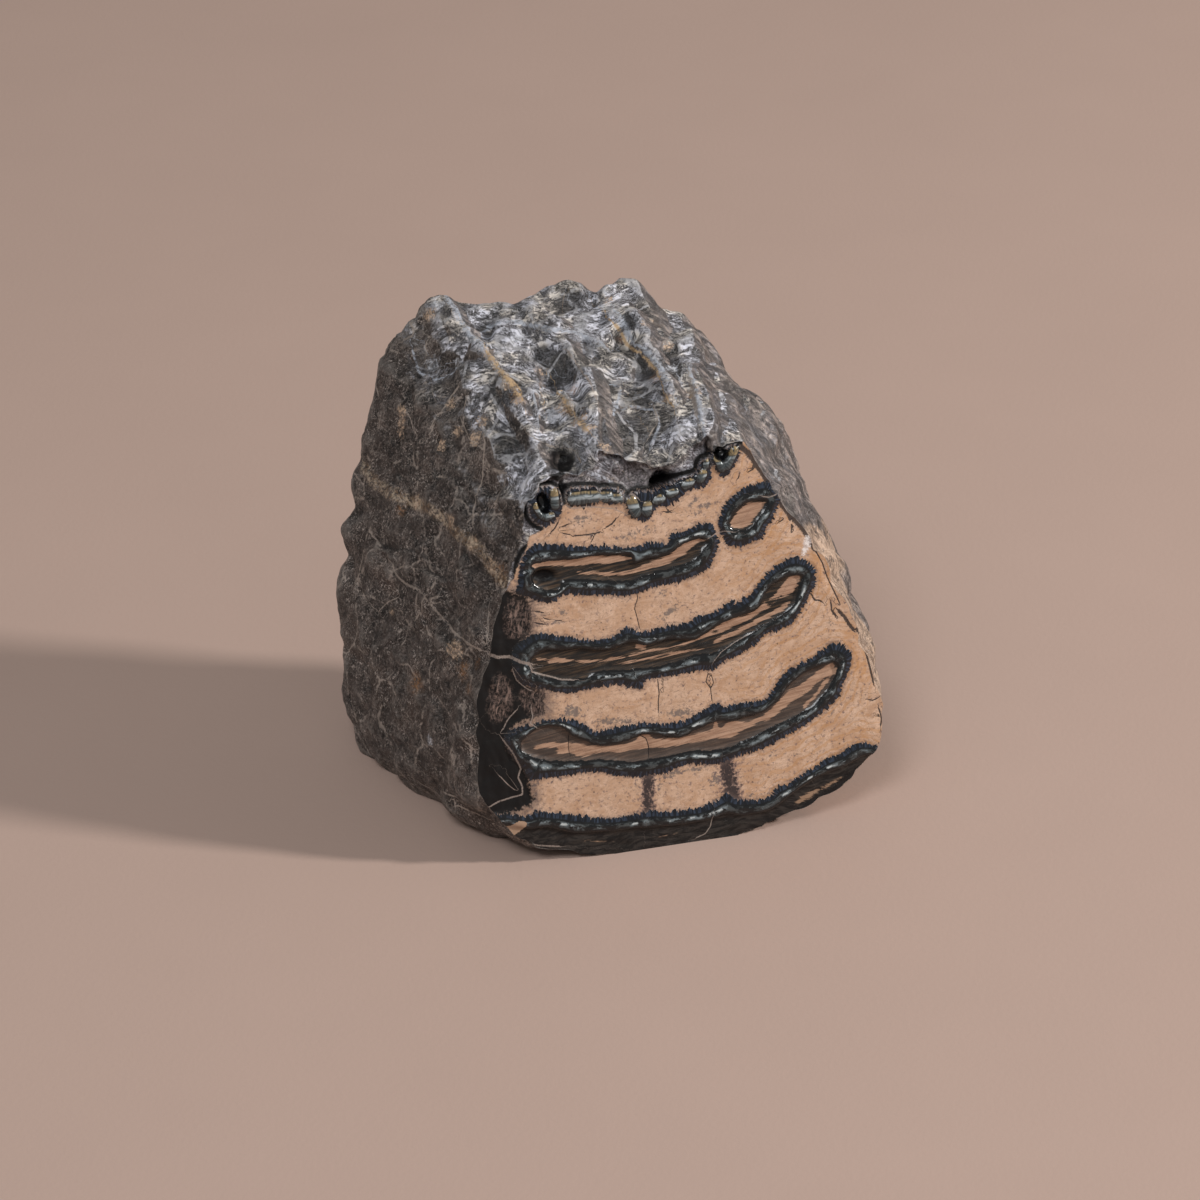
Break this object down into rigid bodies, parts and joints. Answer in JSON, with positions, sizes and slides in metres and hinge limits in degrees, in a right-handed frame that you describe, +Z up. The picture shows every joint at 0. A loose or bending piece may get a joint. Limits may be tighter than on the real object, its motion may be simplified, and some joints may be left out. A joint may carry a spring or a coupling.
{
  "type": "fossil mammoth molar piece",
  "caption": "Broken piece of a dark fossil elephant-family molar with one flat ground face that shows closed enamel loops in tan cement, standing on its flat underside.",
  "frame": {"origin": "centre of the piece's bounding box in plan, on the level it stands on", "axes": "+Z up; the ground face looks towards -Y, turned 15 degrees to +X and leaning back 17 degrees; +X is to the right of someone who looks at that face"},
  "size_m": [0.1082, 0.0773, 0.0884],
  "materials": {
    "fossil_tooth": "satin"
  },
  "bodies": {
    "root": {"molar": "fossil_tooth"}
  },
  "joints": []
}
